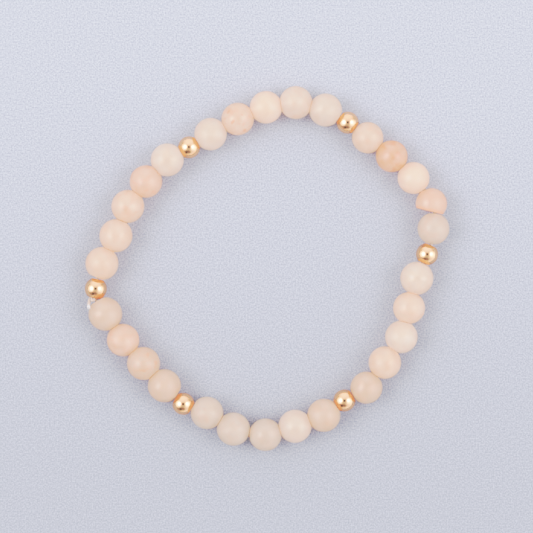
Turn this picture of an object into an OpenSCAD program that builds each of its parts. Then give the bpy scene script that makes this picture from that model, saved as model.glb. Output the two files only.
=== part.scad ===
// Beaded stretch bracelet, lying flat: drilled stone beads with small gold
// beads between them, strung on one clear elastic cord that is knotted inside
// a gold bead. Millimetres. The origin is the middle of the loop, on the
// surface that the loop lies on, with +Z up.

/* [Stone beads] */
// Size of every stone bead against its row in the chart
stone_scale = 1; // [0.95:0.01:1.03]
// Width of the drilled hole
stone_hole_d = 1.2; // [1.15:0.05:1.4]
// Width of the chamfer at each end of the hole
stone_chamfer_d = 1.6; // [1.5:0.05:1.7]
// Depth of the chamfer at each end of the hole
stone_chamfer_depth = 0.25; // [0.15:0.05:0.3]
// How much the one badly cut stone lacks at its far end
short_stone_cut = 1.05; // [0.8:0.05:1.2]
// How far that cut slants, clockwise from square to the hole
short_stone_slant = 22; // [0:1:24]

/* [Gold beads] */
// Outer diameter of a gold bead
gold_d = 4.06; // [3.9:0.02:4.2]
// Length of a gold bead along its hole
gold_length = 3.5; // [3.4:0.05:3.6]
// Width of the hole through a gold bead
gold_hole_d = 1.8; // [1.6:0.1:1.9]
// Thickness of the hollow bead's wall
gold_wall = 0.3; // [0.25:0.05:0.4]

/* [Elastic cord] */
// Thickness of the clear elastic cord
cord_d = 0.6; // [0.4:0.05:0.6]
// Sides of the cord's section
cord_sides = 8; // [6:1:12]

/* [Knot] */
// Length over which the two ends of the cord wrap once round each other
knot_pitch = 1.6; // [1.6:0.05:1.8]
// How far the gold bead over the knot turns out of line with its neighbours
knot_lean = 18; // [18:1:20]

/* [Loop] */
// Play between two beads where their rims come closest
bead_gap = 0.06; // [0.04:0.01:0.1]
// Compass bearing of the first bead from the middle of the loop
first_bearing = -32.7; // [-180:0.1:180]

/* [Hidden] */
$fn = 96;

// The columns of the bead chart.
KIND = 0;
DIAMETER = 1;
LENGTH = 2;
REACH = 3;

// Every bead in stringing order, clockwise seen from above: its kind, its
// diameter, its length along the hole, and the reach of its centre from the
// middle of the loop as the bracelet lies.
BEADS = [
    ["gold", gold_d, gold_length, 26.1],
    ["cream", 5.9, 5.4, 26.4],
    ["blush", 5.9, 5.6, 27.6],
    ["blush", 5.9, 5.1, 29.2],
    ["cream", 6.0, 4.8, 30.5],
    ["cream", 6.0, 5.2, 30.6],
    ["gold", gold_d, gold_length, 30.2],
    ["blush", 5.7, 5.4, 29.9],
    ["apricot", 5.8, 5.4, 30.4],
    ["blush", 5.8, 5.4, 31.2],
    ["peach", 5.7, 5.4, 32.0],
    ["cream", 5.8, 5.4, 31.0],
    ["gold", gold_d, gold_length, 29.1],
    ["cream", 6.0, 5.7, 27.2],
    ["blush", 5.8, 5.1, 26.7],
    ["cream", 5.9, 5.1, 27.3],
    ["blush", 5.9, 5.4, 27.3],
    ["sand", 5.8, 5.3, 28.1],
    ["gold", gold_d, gold_length, 27.7],
    ["sand", 6.0, 5.4, 28.5],
    ["cream", 6.0, 5.3, 29.0],
    ["cream", 5.9, 5.2, 30.1],
    ["cream", 6.0, 5.6, 29.7],
    ["cream", 5.9, 5.4, 28.3],
    ["gold", gold_d, gold_length, 28.8],
    ["sand", 6.0, 5.4, 28.2],
    ["sand", 6.0, 5.5, 28.2],
    ["peach", 5.9, 5.5, 29.1],
    ["sand", 6.1, 5.5, 30.4],
    ["gold", gold_d, gold_length, 31.2],
    ["blush", 6.0, 5.4, 29.9],
    ["blush", 6.0, 5.7, 28.0],
    ["blush", 6.0, 5.5, 27.6],
    ["peach", 5.9, 5.1, 27.0],
    ["cream", 6.0, 5.2, 26.7],
];
BEAD_COUNT = len(BEADS);
// The gold bead that hides the knot, and the stone that is cut short.
KNOT_BEAD = 29;
SHORT_STONE = 10;

// Reading the chart. The chart wraps round, so bead -1 is the last one.
function wrap(i) = (i + BEAD_COUNT) % BEAD_COUNT;
function row(i) = BEADS[wrap(i)];
function is_gold(i) = row(i)[KIND] == "gold";
function size_of(i) = is_gold(i) ? 1 : stone_scale;
function diameter(i) = row(i)[DIAMETER] * size_of(i);
function length(i) = row(i)[LENGTH] * size_of(i);
function near_end(i) = length(i) / 2;
function is_short(i) = wrap(i) == SHORT_STONE;
function far_end(i) = length(i) / 2 - (is_short(i) ? short_stone_cut : 0);
function far_slant(i) = is_short(i) ? short_stone_slant : 0;
function far_mouth(i) = far_end(i) / cos(far_slant(i));
function count_before(i, gold) =
    len([for (k = [0 : i]) if (is_gold(k) == gold) k]);
function two_digits(n) = str(n < 10 ? "0" : "", n);
function bead_name(i) =
    str(is_gold(i) ? "gold_" : "stone_", two_digits(count_before(i, is_gold(i))));

// Plane geometry. Bearings are in degrees clockwise from +Y, as on a compass.
function on_bearing(b) = [sin(b), cos(b)];
function bearing_of(v) = atan2(v.x, v.y);
function unit(v) = v / norm(v);
function signed_turn(a) = a - 360 * round(a / 360);

// How far a bead reaches from its centre, in a direction turned away from its
// hole: to the rim of its flat end, or else to its round side.
function extent(i, flat_at, turned) =
    let (radius = diameter(i) / 2, rim_angle = acos(flat_at / radius))
    abs(turned) < rim_angle ? radius * cos(rim_angle - abs(turned)) : radius;

// How far apart the centres of a bead and the next one lie, when their holes
// lean by lean_a and lean_b degrees from the way between them. A flat sheet as
// thick as the play fits between the two, at the tilt that lets them closest.
MOST_TILT = 30;
function pitch(i, lean_a, lean_b) =
    min([
        for (tilt = [-MOST_TILT : MOST_TILT])
            (
                extent(i, far_end(i), tilt - lean_a - far_slant(i))
                + extent(i + 1, near_end(i + 1), tilt - lean_b)
                + bead_gap
            ) / cos(tilt)
    ]);

// Angle at the middle of the loop between two beads, from their reaches and
// the pitch between them.
function step_angle(a, b, side) = acos((a * a + b * b - side * side) / (2 * a * b));
function steps(pitches, grow) = [
    for (i = [0 : BEAD_COUNT - 1])
        step_angle(grow * row(i)[REACH], grow * row(i + 1)[REACH], pitches[i])
];
function sum(list, i = 0, total = 0) =
    i == len(list) ? total : sum(list, i + 1, total + list[i]);

// The loop is grown or shrunk until its steps add up to one full circle.
function closing_growth(pitches, low = 0.85, high = 1.2, rounds = 30) =
    let (middle = (low + high) / 2)
    rounds == 0 ? middle
    : sum(steps(pitches, middle)) > 360
        ? closing_growth(pitches, middle, high, rounds - 1)
        : closing_growth(pitches, low, middle, rounds - 1);
function running_bearings(step_list) = [
    for (i = 0, b = first_bearing; i < BEAD_COUNT; b = b + step_list[i], i = i + 1) b
];
function centres_from(pitches) =
    let (
        grow = closing_growth(pitches),
        bearings = running_bearings(steps(pitches, grow))
    )
    [for (i = [0 : BEAD_COUNT - 1]) grow * row(i)[REACH] * on_bearing(bearings[i])];

// The joint after each bead is midway between the mouths of the two holes.
function joints_from(centres, holes) = [
    for (i = [0 : BEAD_COUNT - 1])
        let (j = wrap(i + 1))
        (centres[i] + on_bearing(holes[i]) * far_mouth(i)
         + centres[j] - on_bearing(holes[j]) * near_end(j)) / 2
];

// Each hole points the way that the cord is pulled through it: first between
// the ways to the two neighbours, then from joint to joint.
function ways_from(centres) = [
    for (i = [0 : BEAD_COUNT - 1]) bearing_of(centres[wrap(i + 1)] - centres[i])
];
function halfway(a, b) = a + signed_turn(b - a) / 2;
function first_holes(ways) = [
    for (i = [0 : BEAD_COUNT - 1]) halfway(ways[wrap(i - 1)], ways[i])
];
function holes_from(centres) =
    let (joints = joints_from(centres, first_holes(ways_from(centres))))
    [
        for (i = [0 : BEAD_COUNT - 1])
            bearing_of(joints[i] - joints[wrap(i - 1)])
            + (i == KNOT_BEAD ? knot_lean : 0)
    ];

// The layout is settled in a few rounds, since the pitches depend on how the
// holes lean and the holes on where the centres are.
function pitches_from(centres) =
    let (ways = ways_from(centres), holes = holes_from(centres))
    [
        for (i = [0 : BEAD_COUNT - 1])
            pitch(i, signed_turn(holes[i] - ways[i]), signed_turn(holes[wrap(i + 1)] - ways[i]))
    ];
EVEN_LEAN = 180 / BEAD_COUNT;
EVEN_PITCHES = [for (i = [0 : BEAD_COUNT - 1]) pitch(i, -EVEN_LEAN, EVEN_LEAN)];
SETTLING_ROUNDS = 5;
function settled(centres, rounds = SETTLING_ROUNDS) =
    rounds == 0 ? centres : settled(centres_from(pitches_from(centres)), rounds - 1);
UNCENTRED = settled(centres_from(EVEN_PITCHES));

// The loop is moved so that its outline is centred on the origin.
function outline_middle(centres, axis) =
    (min([for (i = [0 : BEAD_COUNT - 1]) centres[i][axis] - diameter(i) / 2])
     + max([for (i = [0 : BEAD_COUNT - 1]) centres[i][axis] + diameter(i) / 2])) / 2;
LOOP_MIDDLE = [outline_middle(UNCENTRED, 0), outline_middle(UNCENTRED, 1)];
CENTRES = [for (c = UNCENTRED) c - LOOP_MIDDLE];
HOLES = holes_from(CENTRES);
JOINTS = joints_from(CENTRES, HOLES);

// Stones rest on the surface; a gold bead hangs on the cord at the mean height
// of the stones beside it.
function height(i) =
    is_gold(i) ? (diameter(i - 1) + diameter(i + 1)) / 4 : diameter(i) / 2;

// Colours of the kinds, as sRGB.
function colour_of(kind) =
    kind == "gold" ? "#e5b27a"
    : kind == "cream" ? "#e9dacc"
    : kind == "blush" ? "#eed6c6"
    : kind == "peach" ? "#edcfba"
    : kind == "apricot" ? "#e9c6ae"
    : "#e3cdbd";
CORD_COLOUR = "#ece8e0";

// Puts a bead's own frame at its place in the loop, with +X along its hole.
module at_bead(i) {
    translate([CENTRES[i].x, CENTRES[i].y, height(i)])
        rotate([0, 0, 90 - HOLES[i]])
            children();
}

// A bead is turned round its hole. Its section is half a disc without the
// hole, cut square at both ends: the first axis is the distance from the
// hole's middle line, and the hole runs along the second.
module bead_section(d, near, far, hole_d) {
    intersection() {
        circle(d = d);
        translate([hole_d / 2, -near]) square([d, near + far]);
    }
}
module turned() {
    rotate([0, 90, 0]) rotate_extrude() children();
}

// The corner that the chamfer takes off the mouth of a stone's hole.
module chamfer_section(mouth_at) {
    polygon([
        [0, mouth_at + 1],
        [0, mouth_at - stone_chamfer_depth],
        [stone_hole_d / 2, mouth_at - stone_chamfer_depth],
        [stone_chamfer_d / 2, mouth_at],
        [stone_chamfer_d / 2, mouth_at + 1]
    ]);
}

// A polished stone bead, drilled from end to end.
module drilled_stone(i, far) {
    turned()
        difference() {
            bead_section(diameter(i), near_end(i), far, stone_hole_d);
            if (!is_short(i)) chamfer_section(far);
            mirror([0, 1]) chamfer_section(near_end(i));
        }
}
module stone_bead(i) {
    color(colour_of(row(i)[KIND]))
        at_bead(i)
            if (is_short(i)) short_stone(i);
            else drilled_stone(i, far_end(i));
}

// The badly cut stone: its far end is sawn off at a slant, with no chamfer.
module short_stone(i) {
    difference() {
        drilled_stone(i, near_end(i));
        rotate([0, 0, -short_stone_slant])
            translate([far_end(i), -diameter(i), -diameter(i)])
                cube(2 * diameter(i));
    }
}

// A hollow gold bead with a wide hole.
module gold_bead(i) {
    color(colour_of("gold"))
        at_bead(i)
            turned()
                difference() {
                    bead_section(gold_d, near_end(i), far_end(i), gold_hole_d);
                    circle(d = gold_d - 2 * gold_wall);
                }
}

// The cord's route. It goes through the middle of every bead and every joint
// but those of the knot bead, in whose own frame the two ends are laid out.
function along_beads(first, last) = [
    for (k = [first : last])
        let (i = wrap(k), j = wrap(k + 1))
        each [
            [CENTRES[i].x, CENTRES[i].y, height(i)],
            if (k < last) [JOINTS[i].x, JOINTS[i].y, (height(i) + height(j)) / 2]
        ]
];
function from_knot_bead(p) =
    let (along = on_bearing(HOLES[KNOT_BEAD]), out = [-along.y, along.x])
    [
        CENTRES[KNOT_BEAD].x + along.x * p.x + out.x * p.y,
        CENTRES[KNOT_BEAD].y + along.y * p.x + out.y * p.y,
        height(KNOT_BEAD) + p.z
    ];

// One end's turns inside the bead: a helix round the hole's middle line, wide
// enough for the other end to lie beside it.
KNOT_RADIUS = 0.6 * cord_d;
KNOT_RINGS = 8;
function twist(start) = [
    for (k = [0 : KNOT_RINGS])
        let (turned = start + 360 * k / KNOT_RINGS)
        [
            knot_pitch * (k / KNOT_RINGS - 0.5),
            KNOT_RADIUS * cos(turned),
            KNOT_RADIUS * sin(turned)
        ]
];

// The trimmed end that shows, from its cut tip to the mouth of the bead.
SHOWN_END = [
    [-3.75, 0.25, 1.5],
    [-3.1, 0.48, 0.85],
    [-2.4, 0.58, 0.35],
    [-1.75, 0.5, 0.05]
];
// The way in from the stone before the knot, and the end hidden in the bead.
WAY_IN = [[-2.15, -0.72, 0], [-1.72, -0.4, 0]];
HIDDEN_END = [[1.4, -0.42, 0]];
ROUTE = [
    for (p = concat(SHOWN_END, twist(0))) from_knot_bead(p),
    [JOINTS[KNOT_BEAD].x, JOINTS[KNOT_BEAD].y, height(KNOT_BEAD)],
    each along_beads(KNOT_BEAD + 1, KNOT_BEAD - 1 + BEAD_COUNT),
    for (p = concat(WAY_IN, twist(180), HIDDEN_END)) from_knot_bead(p)
];

// A round tube swept along a route of points, with flat ends.
function route_way(route, i) =
    unit(
        (i < len(route) - 1 ? unit(route[i + 1] - route[i]) : [0, 0, 0])
        + (i > 0 ? unit(route[i] - route[i - 1]) : [0, 0, 0])
    );
module tube(route, d, sides) {
    rings = len(route);
    points = [
        for (i = [0 : rings - 1])
            let (
                way = route_way(route, i),
                side = unit(cross([0, 0, 1], way)),
                up = cross(way, side)
            )
            for (k = [0 : sides - 1])
                route[i] + (cos(360 * k / sides) * side + sin(360 * k / sides) * up) * d / 2
    ];
    walls = [
        for (i = [0 : rings - 2], k = [0 : sides - 1])
            let (
                a = i * sides + k,
                b = i * sides + (k + 1) % sides
            )
            each [[a, a + sides, b], [b, a + sides, b + sides]]
    ];
    start_cap = [for (k = [0 : sides - 1]) k];
    end_cap = [for (k = [sides - 1 : -1 : 0]) (rings - 1) * sides + k];
    polyhedron(points = points, faces = concat(walls, [start_cap, end_cap]));
}

// The whole cord in one piece, with its knot and both ends.
module elastic_cord() {
    color(CORD_COLOUR) tube(ROUTE, cord_d, cord_sides);
}

for (i = [0 : BEAD_COUNT - 1]) {
    union() {
        if (is_gold(i)) gold_bead(i);
        else stone_bead(i);
    }
}
elastic_cord();
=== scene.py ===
import math

import bpy
from mathutils import Matrix, Vector


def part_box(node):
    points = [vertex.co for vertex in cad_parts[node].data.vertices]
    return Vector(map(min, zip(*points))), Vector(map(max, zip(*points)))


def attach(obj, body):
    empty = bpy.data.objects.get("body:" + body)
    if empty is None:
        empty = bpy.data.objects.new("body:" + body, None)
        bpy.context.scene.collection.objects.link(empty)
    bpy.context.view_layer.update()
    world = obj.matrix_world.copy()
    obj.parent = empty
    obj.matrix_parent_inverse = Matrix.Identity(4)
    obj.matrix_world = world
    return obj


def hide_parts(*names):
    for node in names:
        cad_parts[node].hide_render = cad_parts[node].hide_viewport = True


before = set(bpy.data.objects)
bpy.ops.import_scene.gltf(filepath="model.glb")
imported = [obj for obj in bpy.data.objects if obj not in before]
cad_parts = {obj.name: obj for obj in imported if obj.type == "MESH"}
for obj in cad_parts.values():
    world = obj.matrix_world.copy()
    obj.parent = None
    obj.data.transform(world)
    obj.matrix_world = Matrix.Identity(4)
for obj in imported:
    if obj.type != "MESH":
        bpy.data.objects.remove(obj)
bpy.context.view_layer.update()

MM = 0.001
UP = Vector((0, 0, 1))

# Sizes of the drilled beads, in millimetres, as the solids have them.
STONE_HOLE = 1.2
STONE_CHAMFER = 1.6
STONE_CHAMFER_DEPTH = 0.25
GOLD_HOLE = 1.8
GOLD_WALL = 0.3

# What tumbling rounds off, and the play left between two stones where they meet.
STONE_RIM_ROUNDING = 0.05
GOLD_LIP_ROUNDING = 0.1
JOINT_PLAY = 0.02

# The sawn end of a stone: how much further it leans than in its solid, in
# degrees, and how far the broken edge of its hole goes out and in.
SAWN_LEAN = 14.4
SAWN_EDGE = 0.04
SAWN_EDGE_DEPTH = 0.1
# The two ends of a solid face away from each other at least this squarely,
# unless one of them is sawn.
NEARLY_SQUARE = 0.99

# A face is upright if its normal rises less than this, and upright faces are
# one flat if their normals agree to this many decimals.
UPRIGHT_RISE = 0.01
FLAT_DECIMALS = 2

# Steps round a bead, along its polished outside, round a gold bead's lip, and
# along the inside of its wall.
STEPS_ROUND = 72
STEPS_OVER_STONE = 72
STEPS_OVER_GOLD = 40
STEPS_ROUND_LIP = 6
STEPS_INSIDE_GOLD = 18
# A ring of points this far down the hole keeps the chamfer's edge crisp.
CRISP_RING = 0.1

# The bracelet in stringing order, clockwise seen from above: G is a gold bead.
STRINGING = "G sssss G sssss G sssss G sssss G ssss G sssss"
KNOT_BEAD = "gold_06"


def bead_names():
    names = []
    counts = {"G": 0, "s": 0}
    for mark in STRINGING.replace(" ", ""):
        counts[mark] += 1
        kind = "gold" if mark == "G" else "stone"
        names.append(f"{kind}_{counts[mark]:02d}")
    return names


def area_of(faces):
    return sum(face.area for face in faces)


# The flat ends of a bead's solid: its two widest upright flats, the near one
# first in stringing order.
def flat_ends(mesh, middle):
    flats = {}
    for face in mesh.polygons:
        faces_out = face.normal.dot(face.center - middle) > 0
        upright = abs(face.normal.z) < UPRIGHT_RISE
        if faces_out and upright:
            way = (round(face.normal.x, FLAT_DECIMALS), round(face.normal.y, FLAT_DECIMALS))
            flats.setdefault(way, []).append(face)
    widest = sorted(flats.values(), key=area_of, reverse=True)[:2]
    clockwise = Vector((middle.y, -middle.x, 0))
    return sorted(widest, key=lambda faces: clockwise.dot(faces[0].normal))


# Where a bead's centre is, how wide it is, which way its hole runs, and its
# two ends, each as the way it faces and how far it is from the centre. All of
# it is read from the bead's solid.
def bead_place(name):
    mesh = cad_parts[name].data
    low, high = (Vector(end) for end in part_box(name))
    middle = (low + high) / 2
    radius = (high.z - low.z) / 2
    near_faces, far_faces = flat_ends(mesh, middle)
    near_normal, far_normal = near_faces[0].normal.copy(), far_faces[0].normal.copy()
    flat_middle = sum((face.center * face.area for face in near_faces), Vector())
    flat_middle = flat_middle / area_of(near_faces)
    spots = [mesh.vertices[corner].co for face in near_faces for corner in face.vertices]
    rim = max((spot - flat_middle).length for spot in spots)
    near = math.sqrt(radius * radius - rim * rim)
    centre = flat_middle - near_normal * near
    centre.z = middle.z
    return {
        "centre": centre,
        "along": -near_normal,
        "radius": radius,
        "near_end": (near_normal, near),
        "far_end": (far_normal, far_normal.dot(far_faces[0].center - centre)),
        "sawn": far_normal.dot(-near_normal) < NEARLY_SQUARE,
        "neighbours": [],
    }


# Where two beads meet. Stones pulled together on a curve have worn each other
# flat, so they meet in a thin even joint, on the plane through the crossing of
# their round outsides. A stone beside a gold bead ends at that bead's mouth.
# The sawn end of a stone only touches the next stone, which stays round, and
# the joints at the knot keep the flats of the solids.
def meet(name, place, next_name, next_place):
    if KNOT_BEAD in (name, next_name):
        return
    between = next_place["centre"] - place["centre"]
    between.z = 0
    play = JOINT_PLAY / 2 * MM
    if name.startswith("gold"):
        normal, reach = place["far_end"]
        reach = reach + play
    elif next_name.startswith("gold"):
        normal = -next_place["near_end"][0]
        reach = normal.dot(between) - next_place["near_end"][1] - play
    elif place["sawn"]:
        lean = Matrix.Rotation(-math.radians(SAWN_LEAN), 3, "Z")
        normal = lean @ place["far_end"][0]
        reach = normal.dot(between) - next_place["radius"] - play
        place["far_end"] = (normal, reach - play)
        return
    else:
        apart = between.length
        normal = between / apart
        reach = (apart ** 2 + place["radius"] ** 2 - next_place["radius"] ** 2) / (2 * apart)
    if name.startswith("stone"):
        place["far_end"] = (normal, reach - play)
    if next_name.startswith("stone"):
        next_place["near_end"] = (-normal, normal.dot(between) - reach - play)


# A ball this large stands for a sawn flat, and the painted joint light reaches
# this much deeper into one than into a joint, both in millimetres.
FLAT_BALL = 40.0
SAWN_JOINT_LIGHT = 0.3


# Notes what a bead and the next one have beside them, each as the middle of a
# ball, seen from the bead's own centre, and the ball's radius, in millimetres.
# A sawn end has its own flat beside it, and the stone after it nothing. The balls
# mark where the painted joint light falls.
def note_neighbours(place, next_place):
    if place["sawn"]:
        normal, reach = place["far_end"]
        ball_middle = tuple(normal * (reach / MM + FLAT_BALL))
        place["neighbours"].append((ball_middle, FLAT_BALL + SAWN_JOINT_LIGHT))
        return
    for here, there in ((place, next_place), (next_place, place)):
        away = (there["centre"] - here["centre"]) / MM
        here["neighbours"].append((tuple(away), there["radius"] / MM))


# The curve that leaves start and reaches end while it leans on the corner
# between them.
def rounded(start, corner, end, steps):
    points = []
    for k in range(steps + 1):
        done = k / steps
        points.append(tuple(
            (1 - done) ** 2 * a + 2 * done * (1 - done) * b + done * done * c
            for a, b, c in zip(start, corner, end)
        ))
    return points


# The lesser of two distances, eased where the two are nearly the same.
def soft_least(first, second, soft):
    overlap = max(soft - abs(first - second), 0.0) / soft
    return min(first, second) - overlap * overlap * soft / 4


# An end plane trims only what faces it by more than this, and the edge of a
# mouth is found by trying again this often from a first guess.
LEAST_FACING = 0.2
MOUTH_GUESS = 0.3
MOUTH_TRIES = 6


# Half section of a drilled and tumbled stone, from the near mouth over the
# outside to the far mouth and back through the hole. The first number of a
# point runs along the hole and the second is the distance from its middle
# line. The stone is a ball trimmed by its two end planes, with soft rims, and a
# hole with a chamfer at each mouth. A sawn end has only a broken edge.
def stone_section(place, round_turn):
    out = UP.cross(place["along"])
    planes = []
    for end in ("near_end", "far_end"):
        normal, reach = place[end]
        outward = normal.dot(out) * math.cos(round_turn)
        planes.append((normal.dot(place["along"]), outward, reach))

    def surface(turn):
        way = (-math.cos(turn), math.sin(turn))
        distance = place["radius"]
        for along, outward, reach in planes:
            facing = way[0] * along + way[1] * outward
            if facing > LEAST_FACING:
                distance = soft_least(distance, reach / facing, STONE_RIM_ROUNDING * MM)
        return (way[0] * distance, way[1] * distance)

    hole = STONE_HOLE / 2 * MM
    near_radius = far_radius = STONE_CHAMFER / 2 * MM
    near_depth = far_depth = STONE_CHAMFER_DEPTH * MM
    if place["sawn"]:
        far_radius = hole + SAWN_EDGE * MM
        far_depth = SAWN_EDGE_DEPTH * MM
    mouth_turns = []
    for mouth, start, side in ((near_radius, 0.0, 1), (far_radius, math.pi, -1)):
        turn = start + side * MOUTH_GUESS
        for _ in range(MOUTH_TRIES):
            turn = start + side * math.asin(mouth / math.hypot(*surface(turn)))
        mouth_turns.append(turn)
    first, last = mouth_turns
    section = []
    for k in range(STEPS_OVER_STONE + 1):
        section.append(surface(first + (last - first) * k / STEPS_OVER_STONE))
    near_mouth, far_mouth = section[0][0], section[-1][0]
    return section + [
        (far_mouth - far_depth, hole),
        (far_mouth - far_depth - CRISP_RING * MM, hole),
        (near_mouth + near_depth + CRISP_RING * MM, hole),
        (near_mouth + near_depth, hole),
    ]


# Half section of a hollow gold bead, pressed from tube: the wall turns in at
# each mouth with a rounded lip. It is the same all the way round.
def gold_section(place, _round_turn):
    radius, near, far = place["radius"], place["near_end"][1], place["far_end"][1]
    soft = GOLD_LIP_ROUNDING * MM
    hole = GOLD_HOLE / 2 * MM
    trim = soft / radius
    first = math.acos(near / radius) + trim
    last = math.pi - math.acos(far / radius) - trim
    side = []
    for k in range(STEPS_OVER_GOLD + 1):
        turn = first + (last - first) * k / STEPS_OVER_GOLD
        side.append((-radius * math.cos(turn), radius * math.sin(turn)))
    section = rounded((-near + soft, hole), (-near, hole), side[0], STEPS_ROUND_LIP)[:-1]
    section += side
    section += rounded(side[-1], (far, hole), (far - soft, hole), STEPS_ROUND_LIP)[1:]
    inside = radius - GOLD_WALL * MM
    lip_in = math.asin(hole / inside)
    for k in range(STEPS_INSIDE_GOLD + 1):
        turn = lip_in + (math.pi - 2 * lip_in) * k / STEPS_INSIDE_GOLD
        section.append((inside * math.cos(turn), inside * math.sin(turn)))
    return section


def new_piece(name, points, faces, smooth=True):
    mesh = bpy.data.meshes.new(name)
    mesh.from_pydata(points, [], faces)
    mesh.polygons.foreach_set("use_smooth", [smooth] * len(faces))
    mesh.update()
    piece = bpy.data.objects.new(name, mesh)
    bpy.context.scene.collection.objects.link(piece)
    return piece


# Turns a half section round the hole's middle line into one closed skin. The
# section may change a little on the way round.
def turned_bead(name, place, section_at):
    along = place["along"]
    out = UP.cross(along)
    turns = [2 * math.pi * k / STEPS_ROUND for k in range(STEPS_ROUND)]
    sections = [section_at(place, turn) for turn in turns]
    points = []
    for ring in zip(*sections):
        for turn, (distance, reach) in zip(turns, ring):
            sideways = out * math.cos(turn) + UP * math.sin(turn)
            points.append(along * distance + sideways * reach)
    rings = len(sections[0])
    faces = []
    for ring in range(rings):
        start = ring * STEPS_ROUND
        after = (ring + 1) % rings * STEPS_ROUND
        for k in range(STEPS_ROUND):
            beside = (k + 1) % STEPS_ROUND
            faces.append((start + k, start + beside, after + beside, after + k))
    bead = new_piece(name, points, faces)
    bead.location = place["centre"]
    return bead


# The loop of the knot that shows at the gold bead's mouth: a short run of the
# same thread, pulled thin, out of the hole and back in. Each point is given by
# how far it is along the hole from the bead's centre, how far to the right of
# the hole's middle, and how far above it, in millimetres.
LOOP_RUN = [
    (1.50, -0.28, 0.54), (1.68, -0.26, 0.57), (1.85, -0.25, 0.64),
    (2.10, -0.19, 0.70), (2.26, 0.00, 0.73), (2.10, 0.19, 0.70),
    (1.85, 0.25, 0.63), (1.68, 0.25, 0.56), (1.50, 0.26, 0.54),
]
LOOP_THREAD = 0.44
STEPS_ROUND_THREAD = 16
STEPS_A_SPAN = 5


# A smooth path that passes through every point of a run.
def smooth_path(run):
    path = []
    for k in range(len(run) - 1):
        before, start = run[max(k - 1, 0)], run[k]
        end, after = run[k + 1], run[min(k + 2, len(run) - 1)]
        slope = end - before
        bend = before * 2 - start * 5 + end * 4 - after
        swing = start * 3 - before - end * 3 + after
        for step in range(STEPS_A_SPAN):
            done = step / STEPS_A_SPAN
            path.append((start * 2 + slope * done + bend * done ** 2 + swing * done ** 3) / 2)
    path.append(run[-1])
    return path


# A round thread along a path, closed at both ends.
def thread_along(name, path, thickness):
    points = []
    up = UP
    for k, spot in enumerate(path):
        ahead = (path[min(k + 1, len(path) - 1)] - path[max(k - 1, 0)]).normalized()
        side = ahead.cross(up).normalized()
        up = side.cross(ahead)
        for step in range(STEPS_ROUND_THREAD):
            turn = 2 * math.pi * step / STEPS_ROUND_THREAD
            sideways = side * math.cos(turn) + up * math.sin(turn)
            points.append(spot + sideways * thickness / 2 * MM)
    last = len(points) - STEPS_ROUND_THREAD
    faces = [tuple(range(STEPS_ROUND_THREAD)), tuple(reversed(range(last, len(points))))]
    for ring in range(0, last, STEPS_ROUND_THREAD):
        after = ring + STEPS_ROUND_THREAD
        for k in range(STEPS_ROUND_THREAD):
            beside = (k + 1) % STEPS_ROUND_THREAD
            faces.append((ring + k, after + k, after + beside, ring + beside))
    return new_piece(name, points, faces)


def knot_loop(place):
    out_of_hole = place["near_end"][0]
    right = out_of_hole.cross(-UP)
    run = []
    for along, beside, above in LOOP_RUN:
        offset = out_of_hole * along + right * beside + UP * above
        run.append(place["centre"] + offset * MM)
    return thread_along("knot_loop", smooth_path(run), LOOP_THREAD)


# Turns a colour given as an sRGB hex value to linear, by the sRGB formula.
def linear(code):
    channels = []
    for k in (1, 3, 5):
        value = int(code[k:k + 2], 16) / 255
        channels.append(value / 12.92 if value <= 0.04045 else ((value + 0.055) / 1.055) ** 2.4)
    return (*channels, 1.0)


# Adds a node with its settings. A value is either a plain one, or another
# node's output, which is linked.
def add(tree, kind, values=None, **settings):
    node = tree.nodes.new(kind)
    for key, value in settings.items():
        setattr(node, key, value)
    for key, value in (values or {}).items():
        if isinstance(value, bpy.types.NodeSocket):
            tree.links.new(value, node.inputs[key])
        else:
            node.inputs[key].default_value = value
    return node


# The sockets that a mix of colours has its two colours and its result at.
MIX_A = 6
MIX_B = 7
MIX_RESULT = 2


def new_material(name):
    material = bpy.data.materials.new(name)
    material.use_nodes = True
    tree = material.node_tree
    tree.nodes.clear()
    return material, tree


def finish_material(tree, surface):
    tree.links.new(surface, add(tree, "ShaderNodeOutputMaterial").inputs["Surface"])


# Every pattern starts from the place on its own piece, in millimetres.
def place_in_mm(tree):
    here = add(tree, "ShaderNodeTexCoord").outputs["Object"]
    return add(
        tree, "ShaderNodeVectorMath", {0: here, "Scale": 1 / MM}, operation="SCALE"
    ).outputs[0]


# Tones of the milky quartz: its body, the whiter veils in it, and its stain,
# whose colour also paints the warm light at the joints.
TONES = {
    "pearl": {"body": "#ffdfc7", "veil": "#ffefe0", "stain": "#ffc4a2"},
    "cream": {"body": "#f0d9c5", "veil": "#f5eae0", "stain": "#ffc4a0"},
    # Ivory is the cream a shade darker, in part painted shade: it goes mostly to stones towards
    # -Y.
    "ivory": {"body": "#e4cfbc", "veil": "#eaded1", "stain": "#f9bc99"},
    "blush": {"body": "#f4d4ba", "veil": "#f8e6d7", "stain": "#ffba96"},
    "peach": {"body": "#f4ccb1", "veil": "#f7decd", "stain": "#ffad88"},
    # Sand is the blush a shade darker, in part painted shade: it goes mostly to stones towards
    # -Y.
    "apricot": {"body": "#f1be9d", "veil": "#f5d5bf", "stain": "#f7a077"},
    "sand": {"body": "#e7c9b0", "veil": "#ecd8c6", "stain": "#fab793"},
}

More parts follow.
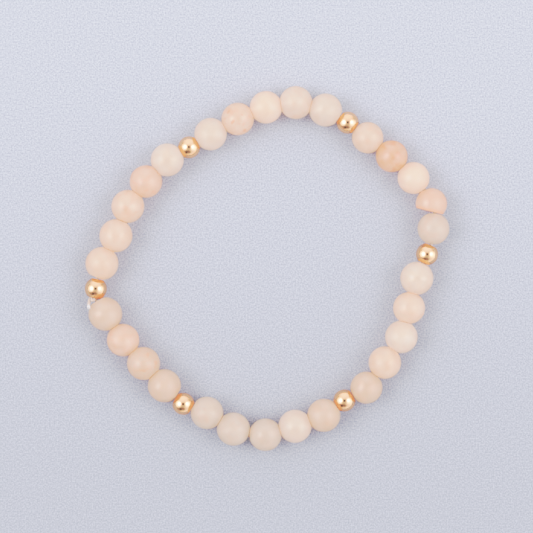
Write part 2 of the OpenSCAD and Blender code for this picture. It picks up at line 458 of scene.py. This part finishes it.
# Each stone in stringing order: its tone, how much white veil runs through it,
# how much orange stain, how strong its crackle is, where its pattern was cut
# from the rough, and how many rusty flecks it holds.
STONE_COLUMNS = ("tone", "veil", "stain", "crackle", "cut", "flecks")
STONES = [
    ("cream", 0.6, 0.1, 0.0, 3.1, 0.0),
    ("blush", 0.5, 0.5, 0.3, 17.4, 0.9),
    ("pearl", 0.6, 0.1, 0.0, 29.8, 0.0),
    ("cream", 0.4, 0.2, 0.3, 41.2, 0.0),
    ("cream", 0.4, 0.1, 0.0, 53.9, 0.0),
    ("blush", 0.4, 0.2, 0.0, 67.3, 0.0),
    ("apricot", 0.5, 0.6, 0.2, 71.6, 0.3),
    ("pearl", 0.4, 0.2, 0.0, 89.0, 0.0),
    ("peach", 0.4, 0.2, 0.0, 97.7, 0.0),
    ("ivory", 0.4, 0.2, 0.0, 103.2, 0.0),
    ("cream", 0.5, 0.1, 0.0, 111.8, 0.0),
    ("blush", 0.5, 0.2, 0.0, 127.1, 0.0),
    ("cream", 0.7, 0.1, 0.1, 131.4, 0.0),
    ("blush", 0.4, 0.2, 0.1, 149.9, 0.0),
    ("sand", 0.4, 0.2, 0.1, 151.3, 0.0),
    ("sand", 0.4, 0.2, 0.0, 163.6, 0.0),
    ("cream", 0.4, 0.1, 0.0, 173.5, 0.0),
    ("ivory", 0.3, 0.1, 0.0, 181.2, 0.0),
    ("ivory", 0.5, 0.1, 0.2, 193.7, 0.0),
    ("ivory", 0.4, 0.2, 0.0, 199.4, 0.0),
    ("sand", 0.3, 0.2, 0.1, 211.8, 0.0),
    ("sand", 0.5, 0.2, 0.5, 223.5, 0.6),
    ("peach", 0.4, 0.3, 0.1, 227.9, 0.2),
    ("sand", 0.5, 0.1, 0.0, 239.3, 0.0),
    ("blush", 0.4, 0.2, 0.0, 251.6, 0.0),
    ("blush", 0.4, 0.2, 0.0, 263.2, 0.0),
    ("blush", 0.4, 0.3, 0.2, 271.7, 0.3),
    ("peach", 0.3, 0.4, 0.0, 283.4, 0.0),
    ("cream", 0.6, 0.1, 0.0, 293.8, 0.0),
]

QUARTZ_IOR = 1.54
# How much of the light that meets a stone passes right through it, and how
# strongly a joint gets a painted glow, given off as light, that stands in for
# light the stone leads sideways into it.
THROUGH_SHARE = 0.68
PAINTED_JOINT_GLOW = 0.32

# How far the painted joint light goes in and out from where the neighbour's ball
# lies, in millimetres, and how strong it is there: the warm light that stones
# pass to each other where they meet, painted into their colour.
JOINT_LIGHT_INSIDE = 0.15
JOINT_LIGHT_OUTSIDE = 0.42
JOINT_LIGHT_STRENGTH = 0.8

# Patterns of the quartz, each as how many of it go into a millimetre: veils
# about 3 mm across and the slow warp that pulls them, stained patches of 2 mm,
# cracks 2 mm apart, rusty flecks 1.3 mm apart, a sugary grain of 0.4 mm, and
# the ripple of 0.3 mm that tumbling leaves.
WARPS_PER_MM = 0.3
VEILS_PER_MM = 0.36
PATCHES_PER_MM = 0.5
CRACKS_PER_MM = 0.55
FLECKS_PER_MM = 0.75
GRAINS_PER_MM = 2.6
RIPPLES_PER_MM = 3.5

# The line through the rough that the stones are cut from, and how far the warp
# pulls the veils, in millimetres.
CUT_LINE = (1.0, 0.7, 1.3)
WARP_REACH = 2.2

# How strong the stained patches and the cracks are in a stone that has all of
# them, and how much of white there is in the light that passes through.
PATCH_STRENGTH = 1.3
CRACK_STRENGTH = 0.5
WHITE_IN_THROUGH = 0.4


# How strongly the painted joint light falls on each place of a stone, round
# where its neighbours' balls lie.
def joint_light_near(tree, in_mm, neighbours):
    strongest = 0.0
    for away, reach in neighbours:
        distance = add(
            tree, "ShaderNodeVectorMath", {0: in_mm, 1: away}, operation="DISTANCE"
        ).outputs["Value"]
        joint_lit = add(
            tree, "ShaderNodeMapRange",
            {"Value": distance,
             "From Min": reach - JOINT_LIGHT_INSIDE, "From Max": reach + JOINT_LIGHT_OUTSIDE,
             "To Min": JOINT_LIGHT_STRENGTH, "To Max": 0.0},
        ).outputs[0]
        strongest = add(
            tree, "ShaderNodeMath", {0: strongest, 1: joint_lit}, operation="MAXIMUM"
        ).outputs[0]
    return strongest


# The colour of one stone, from its veils out to its grain, with painted warm
# light at the joints. The place on the stone is given as it was cut from the
# rough, and as the warp pulled it.
def quartz_colour(tree, stone, cut_place, pulled, clouds, painted_joint_light):
    tone = {part: linear(code) for part, code in TONES[stone["tone"]].items()}
    veils = add(
        tree, "ShaderNodeMapRange",
        {"Value": clouds, "From Min": 0.38, "From Max": 0.66,
         "To Min": 0.0, "To Max": stone["veil"]},
    ).outputs[0]
    body = add(
        tree, "ShaderNodeMix", {"Factor": veils, MIX_A: tone["body"], MIX_B: tone["veil"]},
        data_type="RGBA",
    ).outputs[MIX_RESULT]

    # Painted joint light in the stain's colour where the neighbours meet the stone,
    # and real stain in a few soft patches.
    soaked = add(
        tree, "ShaderNodeTexNoise", {"Vector": pulled, "Scale": PATCHES_PER_MM, "Detail": 2.0}
    ).outputs["Fac"]
    patches = add(
        tree, "ShaderNodeMapRange",
        {"Value": soaked, "From Min": 0.52, "From Max": 0.72,
         "To Min": 0.0, "To Max": stone["stain"] * PATCH_STRENGTH},
    ).outputs[0]
    # This holds both the painted joint light and the real stained patches.
    stain = add(
        tree, "ShaderNodeMath", {0: painted_joint_light, 1: patches}, operation="MAXIMUM"
    ).outputs[0]
    stained_and_joint_lit = add(
        tree, "ShaderNodeMix", {"Factor": stain, MIX_A: body, MIX_B: tone["stain"]},
        data_type="RGBA",
    ).outputs[MIX_RESULT]

    # Healed cracks a hair wide, drawn 0.3 mm wide with faded sides so that they
    # show.
    from_crack = add(
        tree, "ShaderNodeTexVoronoi", {"Vector": pulled, "Scale": CRACKS_PER_MM},
        feature="DISTANCE_TO_EDGE",
    ).outputs["Distance"]
    cracks = add(
        tree, "ShaderNodeMapRange",
        {"Value": from_crack, "From Min": 0.0, "From Max": 0.09,
         "To Min": CRACK_STRENGTH * stone["crackle"], "To Max": 0.0},
    ).outputs[0]
    cracked = add(
        tree, "ShaderNodeMix", {"Factor": cracks, MIX_A: stained_and_joint_lit, MIX_B: tone["stain"]},
        data_type="RGBA",
    ).outputs[MIX_RESULT]

    # Rusty flecks of about half a millimetre.
    rust = add(
        tree, "ShaderNodeTexNoise",
        {"Vector": cut_place, "Scale": FLECKS_PER_MM, "Detail": 1.0, "Roughness": 0.4},
    ).outputs["Fac"]
    flecks = add(
        tree, "ShaderNodeMapRange",
        {"Value": rust, "From Min": 0.62, "From Max": 0.7,
         "To Min": 0.0, "To Max": stone["flecks"]},
    ).outputs[0]
    flecked = add(
        tree, "ShaderNodeMix", {"Factor": flecks, MIX_A: cracked, MIX_B: linear("#f8b188")},
        data_type="RGBA",
    ).outputs[MIX_RESULT]

    # The sugary grain, as a faint change of brightness.
    grain = add(
        tree, "ShaderNodeTexNoise",
        {"Vector": cut_place, "Scale": GRAINS_PER_MM, "Detail": 2.0, "Roughness": 0.6},
    ).outputs["Fac"]
    shade = add(
        tree, "ShaderNodeMapRange",
        {"Value": grain, "From Min": 0.25, "From Max": 0.75, "To Min": 0.985, "To Max": 1.015},
    ).outputs[0]
    return add(
        tree, "ShaderNodeVectorMath", {0: flecked, "Scale": shade}, operation="SCALE"
    ).outputs[0]


# Milky quartz, cut round, drilled and tumble-polished: a waxy, see-into stone
# that looks lit from inside, with cloudy veils, painted warm light and a painted
# glow round the joints, a little orange stain in patches, and a fine sugary grain.
def polished_milky_quartz(name, stone, neighbours):
    material, tree = new_material(name)
    in_mm = place_in_mm(tree)
    cut = tuple(share * stone["cut"] for share in CUT_LINE)
    cut_place = add(
        tree, "ShaderNodeVectorMath", {0: in_mm, 1: cut}, operation="ADD"
    ).outputs[0]
    warp = add(
        tree, "ShaderNodeTexNoise", {"Vector": cut_place, "Scale": WARPS_PER_MM, "Detail": 1.0}
    ).outputs["Color"]
    pulled = add(
        tree, "ShaderNodeVectorMath", {0: warp, 1: (WARP_REACH,) * 3, 2: cut_place},
        operation="MULTIPLY_ADD",
    ).outputs[0]
    clouds = add(
        tree, "ShaderNodeTexNoise",
        {"Vector": pulled, "Scale": VEILS_PER_MM, "Detail": 3.0, "Roughness": 0.5},
    ).outputs["Fac"]
    # Painted warm light round the joints, where the neighbours lie.
    painted_joint_light = joint_light_near(tree, in_mm, neighbours)
    colour = quartz_colour(tree, stone, cut_place, pulled, clouds, painted_joint_light)

    polish = add(
        tree, "ShaderNodeMapRange",
        {"Value": clouds, "From Min": 0.3, "From Max": 0.7, "To Min": 0.16, "To Max": 0.22},
    ).outputs[0]
    ripple = add(
        tree, "ShaderNodeTexNoise", {"Vector": cut_place, "Scale": RIPPLES_PER_MM, "Detail": 2.0}
    ).outputs["Fac"]
    bump = add(
        tree, "ShaderNodeBump", {"Height": ripple, "Strength": 0.12, "Distance": 0.02 * MM}
    ).outputs["Normal"]
    # A painted glow: the joints give off light, though the stone is no lamp.
    painted_joint_glow = add(
        tree, "ShaderNodeMath", {0: painted_joint_light, 1: PAINTED_JOINT_GLOW}, operation="MULTIPLY"
    ).outputs[0]
    surface = add(
        tree, "ShaderNodeBsdfPrincipled",
        {"Base Color": colour, "Roughness": polish, "IOR": QUARTZ_IOR, "Normal": bump,
         "Coat Weight": 1.0, "Coat Roughness": 0.12, "Coat IOR": QUARTZ_IOR,
         "Emission Color": linear("#ffb894"), "Emission Strength": painted_joint_glow,
         "Subsurface Weight": 1.0, "Subsurface Radius": (1.0, 0.85, 0.7),
         "Subsurface Scale": 4.0 * MM},
        subsurface_method="RANDOM_WALK",
    )

    # Light that passes through the stone takes its colour, washed out to white.
    washed = add(
        tree, "ShaderNodeMix",
        {"Factor": WHITE_IN_THROUGH, MIX_A: colour, MIX_B: linear("#fff4ea")},
        data_type="RGBA",
    ).outputs[MIX_RESULT]
    through = add(tree, "ShaderNodeBsdfTranslucent", {"Color": washed, "Normal": bump})
    both = add(
        tree, "ShaderNodeMixShader",
        {0: THROUGH_SHARE, 1: surface.outputs[0], 2: through.outputs[0]},
    )
    finish_material(tree, both.outputs[0])
    return material


# Patterns of the rolled gold, as how many of each go into a millimetre: its
# change of tone, the orange peel under the polish, and the scratches of
# tumbling, which are finer still and are drawn 0.2 mm apart so that they show.
GOLD_TONES_PER_MM = 1.4
PEEL_PER_MM = 2.2
SCRATCHES_PER_MM = 6.0


# Rolled gold over brass, barrel-polished: a warm mirror with the faint orange
# peel and the uneven gloss of tumbling.
def polished_rolled_gold():
    material, tree = new_material("polished_rolled_gold")
    in_mm = place_in_mm(tree)
    cloud = add(
        tree, "ShaderNodeTexNoise", {"Vector": in_mm, "Scale": GOLD_TONES_PER_MM, "Detail": 3.0}
    ).outputs["Fac"]
    colour = add(
        tree, "ShaderNodeMix",
        {"Factor": cloud, MIX_A: linear("#ffbb8c"), MIX_B: linear("#ffc296")},
        data_type="RGBA",
    ).outputs[MIX_RESULT]
    wear = add(
        tree, "ShaderNodeTexNoise",
        {"Vector": in_mm, "Scale": SCRATCHES_PER_MM, "Detail": 4.0, "Roughness": 0.65},
    ).outputs["Fac"]
    gloss = add(
        tree, "ShaderNodeMapRange",
        {"Value": wear, "From Min": 0.3, "From Max": 0.75, "To Min": 0.09, "To Max": 0.17},
    ).outputs[0]
    peel = add(
        tree, "ShaderNodeTexNoise", {"Vector": in_mm, "Scale": PEEL_PER_MM, "Detail": 2.0}
    ).outputs["Fac"]
    bump = add(
        tree, "ShaderNodeBump", {"Height": peel, "Strength": 0.25, "Distance": 0.012 * MM}
    ).outputs["Normal"]
    surface = add(
        tree, "ShaderNodeBsdfPrincipled",
        {"Base Color": colour, "Metallic": 1.0, "Roughness": gloss, "Normal": bump},
    )
    finish_material(tree, surface.outputs[0])
    return material


# Where the cord's tail was cut off, and how far from there the painted glint on
# its cut end is full and where it ends, all in millimetres.
CORD_CUT = (-32.2, -7.1, 4.6)
GLINT_FULL_UP_TO = 0.5
GLINT_GONE_FROM = 1.05
HAZE_PER_MM = 1.6


# Clear polyurethane elastic, extruded: a slightly milky, see-through thread,
# with a painted glint in white on its snipped tail end.
def clear_extruded_elastic():
    material, tree = new_material("clear_extruded_elastic")
    in_mm = place_in_mm(tree)
    haze = add(
        tree, "ShaderNodeTexNoise", {"Vector": in_mm, "Scale": HAZE_PER_MM, "Detail": 2.0}
    ).outputs["Fac"]
    clear = add(
        tree, "ShaderNodeMix",
        {"Factor": haze, MIX_A: linear("#eccfba"), MIX_B: linear("#f4e0d0")},
        data_type="RGBA",
    ).outputs[MIX_RESULT]
    # Painted glint: the cut end is coloured white where it catches the light.
    from_cut = add(
        tree, "ShaderNodeVectorMath", {0: in_mm, 1: CORD_CUT}, operation="DISTANCE"
    ).outputs["Value"]
    painted_glint = add(
        tree, "ShaderNodeMapRange",
        {"Value": from_cut, "From Min": GLINT_FULL_UP_TO, "From Max": GLINT_GONE_FROM,
         "To Min": 1.0, "To Max": 0.0},
    ).outputs[0]
    colour = add(
        tree, "ShaderNodeMix", {"Factor": painted_glint, MIX_A: clear, MIX_B: linear("#ffffff")},
        data_type="RGBA",
    ).outputs[MIX_RESULT]
    gloss = add(
        tree, "ShaderNodeMapRange",
        {"Value": haze, "From Min": 0.3, "From Max": 0.7, "To Min": 0.12, "To Max": 0.25},
    ).outputs[0]
    surface = add(
        tree, "ShaderNodeBsdfPrincipled",
        {"Base Color": colour, "Roughness": gloss, "IOR": 1.5, "Transmission Weight": 0.45},
    )
    finish_material(tree, surface.outputs[0])
    return material


# Real fibres are too fine to show, so they are drawn 0.3 mm across. The card's
# painted shade is lightest this far out towards +Y, and darkest as far towards
# -Y, in millimetres.
FIBRES_PER_MM = 3.6
PAINTED_SHADE_REACH = 55.0


# Matt backdrop card, pale lavender grey: pressed pulp with a fibre grain that
# breaks up the light. Painted shade makes it darker towards -Y, where less light
# falls.
def matt_backdrop_card():
    material, tree = new_material("matt_backdrop_card")
    in_mm = place_in_mm(tree)
    fibres = add(
        tree, "ShaderNodeTexNoise",
        {"Vector": in_mm, "Scale": FIBRES_PER_MM, "Detail": 1.0, "Roughness": 0.7},
    ).outputs["Fac"]
    contrast = add(
        tree, "ShaderNodeMapRange", {"Value": fibres, "From Min": 0.25, "From Max": 0.75}
    ).outputs[0]
    card = add(
        tree, "ShaderNodeMix",
        {"Factor": contrast, MIX_A: linear("#8e94a7"), MIX_B: linear("#c7cbd9")},
        data_type="RGBA",
    ).outputs[MIX_RESULT]
    # Painted shade: the card darkens towards -Y.
    across = add(tree, "ShaderNodeSeparateXYZ", {"Vector": in_mm}).outputs["Y"]
    shade = add(
        tree, "ShaderNodeMapRange",
        {"Value": across, "From Min": -PAINTED_SHADE_REACH, "From Max": PAINTED_SHADE_REACH,
         "To Min": 0.735, "To Max": 0.955},
        interpolation_type="SMOOTHSTEP",
    ).outputs[0]
    colour = add(
        tree, "ShaderNodeVectorMath", {0: card, "Scale": shade}, operation="SCALE"
    ).outputs[0]
    bump = add(
        tree, "ShaderNodeBump", {"Height": fibres, "Strength": 0.3, "Distance": 0.08 * MM}
    ).outputs["Normal"]
    surface = add(
        tree, "ShaderNodeBsdfPrincipled",
        {"Base Color": colour, "Roughness": 0.9, "Specular IOR Level": 0.2, "Normal": bump},
    )
    finish_material(tree, surface.outputs[0])
    return material


# The beads.
names = bead_names()
places = {name: bead_place(name) for name in names}
for name, next_name in zip(names, names[1:] + names[:1]):
    meet(name, places[name], next_name, places[next_name])
    note_neighbours(places[name], places[next_name])
gold = polished_rolled_gold()
stone_rows = iter(STONES)
for name in names:
    place = places[name]
    if name.startswith("gold"):
        bead = turned_bead(f"{name}_bead", place, gold_section)
        bead.data.materials.append(gold)
    else:
        stone = dict(zip(STONE_COLUMNS, next(stone_rows)))
        bead = turned_bead(f"{name}_bead", place, stone_section)
        finish_name = f"polished_milky_quartz_{name[-2:]}"
        finish = polished_milky_quartz(finish_name, stone, place["neighbours"])
        bead.data.materials.append(finish)
    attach(bead, "root")
    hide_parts(name)

# The cord, and the loop of its knot that shows at the mouth of the gold bead.
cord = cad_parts["elastic_cord"]
elastic = clear_extruded_elastic()
cord.data.materials.clear()
cord.data.materials.append(elastic)
loop = knot_loop(places[KNOT_BEAD])
loop.data.materials.append(elastic)
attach(loop, "root")

# The floor: half its width, in metres, and how far below the beads it lies.
FLOOR_REACH = 3.0
BELOW_BEADS = 0.01 * MM
floor_corners = [
    (-FLOOR_REACH, -FLOOR_REACH, 0), (FLOOR_REACH, -FLOOR_REACH, 0),
    (FLOOR_REACH, FLOOR_REACH, 0), (-FLOOR_REACH, FLOOR_REACH, 0),
]
floor = new_piece("backdrop_card", floor_corners, [(0, 1, 2, 3)], smooth=False)
floor.data.materials.append(matt_backdrop_card())
floor.location.z = -BELOW_BEADS

# The studio's walls, as light from all round: how bright they are, how dark
# they may get, and the soft glows and dark patches on them. A direction is
# given by its bearing, clockwise from +Y, and its angle down from overhead. The
# columns of a glow are bearing, down, full within, faded out at, all in
# degrees, and added brightness.
WALLS = 0.68
DARKEST_WALL = 0.05
GLOWS = [
    (-90, 50, 8, 40, 1.6),
    (-86, 41, 5, 22, 5.0),
    (90, 48, 6, 38, 1.35),
    (87, 41, 4, 19, 4.2),
    (0, 64, 12, 60, 0.9),
    (178, 88, 10, 34, 0.55),
    (100, 88, 10, 34, 0.4),
    (222, 66, 6, 28, -0.3),
    (188, 60, 8, 32, -0.42),
    (156, 62, 6, 26, -0.22),
    (120, 74, 10, 60, 0.7),
    (0, 0, 6, 13, -0.8),
]


def direction(bearing, down):
    turn = math.radians(bearing)
    tilt = math.radians(down)
    level = math.sin(tilt)
    return Vector((math.sin(turn) * level, math.cos(turn) * level, math.cos(tilt)))


# A soft patch on the studio's walls: 1 at its middle, fading to 0 at its edge.
def soft_patch(tree, towards, bearing, down, middle, edge):
    facing = add(
        tree, "ShaderNodeVectorMath", {0: towards, 1: tuple(direction(bearing, down))},
        operation="DOT_PRODUCT",
    ).outputs["Value"]
    return add(
        tree, "ShaderNodeMapRange",
        {"Value": facing, "From Min": math.cos(math.radians(edge)),
         "From Max": math.cos(math.radians(middle)), "To Min": 0.0, "To Max": 1.0},
        interpolation_type="SMOOTHSTEP",
    ).outputs[0]


world = bpy.data.worlds.new("studio")
bpy.context.scene.world = world
world.use_nodes = True
studio = world.node_tree
studio.nodes.clear()
towards = add(studio, "ShaderNodeTexCoord").outputs["Generated"]
light = WALLS
for bearing, down, middle, edge, added in GLOWS:
    patch = soft_patch(studio, towards, bearing, down, middle, edge)
    light = add(
        studio, "ShaderNodeMath", {0: patch, 1: added, 2: light}, operation="MULTIPLY_ADD"
    ).outputs[0]
light = add(
    studio, "ShaderNodeMath", {0: light, 1: DARKEST_WALL}, operation="MAXIMUM"
).outputs[0]
shell = add(studio, "ShaderNodeBackground", {"Color": linear("#fdfcff"), "Strength": light})
studio.links.new(shell.outputs[0], add(studio, "ShaderNodeOutputWorld").inputs["Surface"])

# The camera, straight overhead on a long lens: how wide a field it shows at
# the height of the beads' middles, and the point there that it looks down on.
# The lens and the sensor are in millimetres, as Blender has them.
FIELD = 96.54 * MM
AIM = (-0.10 * MM, 0.37 * MM)
AIM_HEIGHT = 3.0 * MM
LENS = 190.0
SENSOR = 36.0
camera_data = bpy.data.cameras.new("overhead_camera")
camera_data.lens = LENS
camera_data.sensor_width = SENSOR
camera_data.clip_start = 0.01
camera_data.clip_end = 20.0
camera = bpy.data.objects.new("overhead_camera", camera_data)
camera.location = (*AIM, AIM_HEIGHT + FIELD * LENS / SENSOR)
bpy.context.scene.collection.objects.link(camera)
bpy.context.scene.camera = camera

# The camera's response: it lifts the darker tones a little, and rolls the bright
# parts off softly towards white, as on film. Brightness in, brightness out.
FILM_CURVE = [(0.2, 0.26), (0.4, 0.505), (0.65, 0.655), (0.95, 0.80), (1.3, 0.9), (2.0, 0.97)]
BRIGHTEST = 3.0
ALL_CHANNELS = 3
film = bpy.context.scene.view_settings
film.view_transform = "Standard"
film.use_curve_mapping = True
response = film.curve_mapping
response.white_level = (BRIGHTEST, BRIGHTEST, BRIGHTEST)
for bright_in, bright_out in FILM_CURVE:
    response.curves[ALL_CHANNELS].points.new(bright_in / BRIGHTEST, bright_out)
response.update()
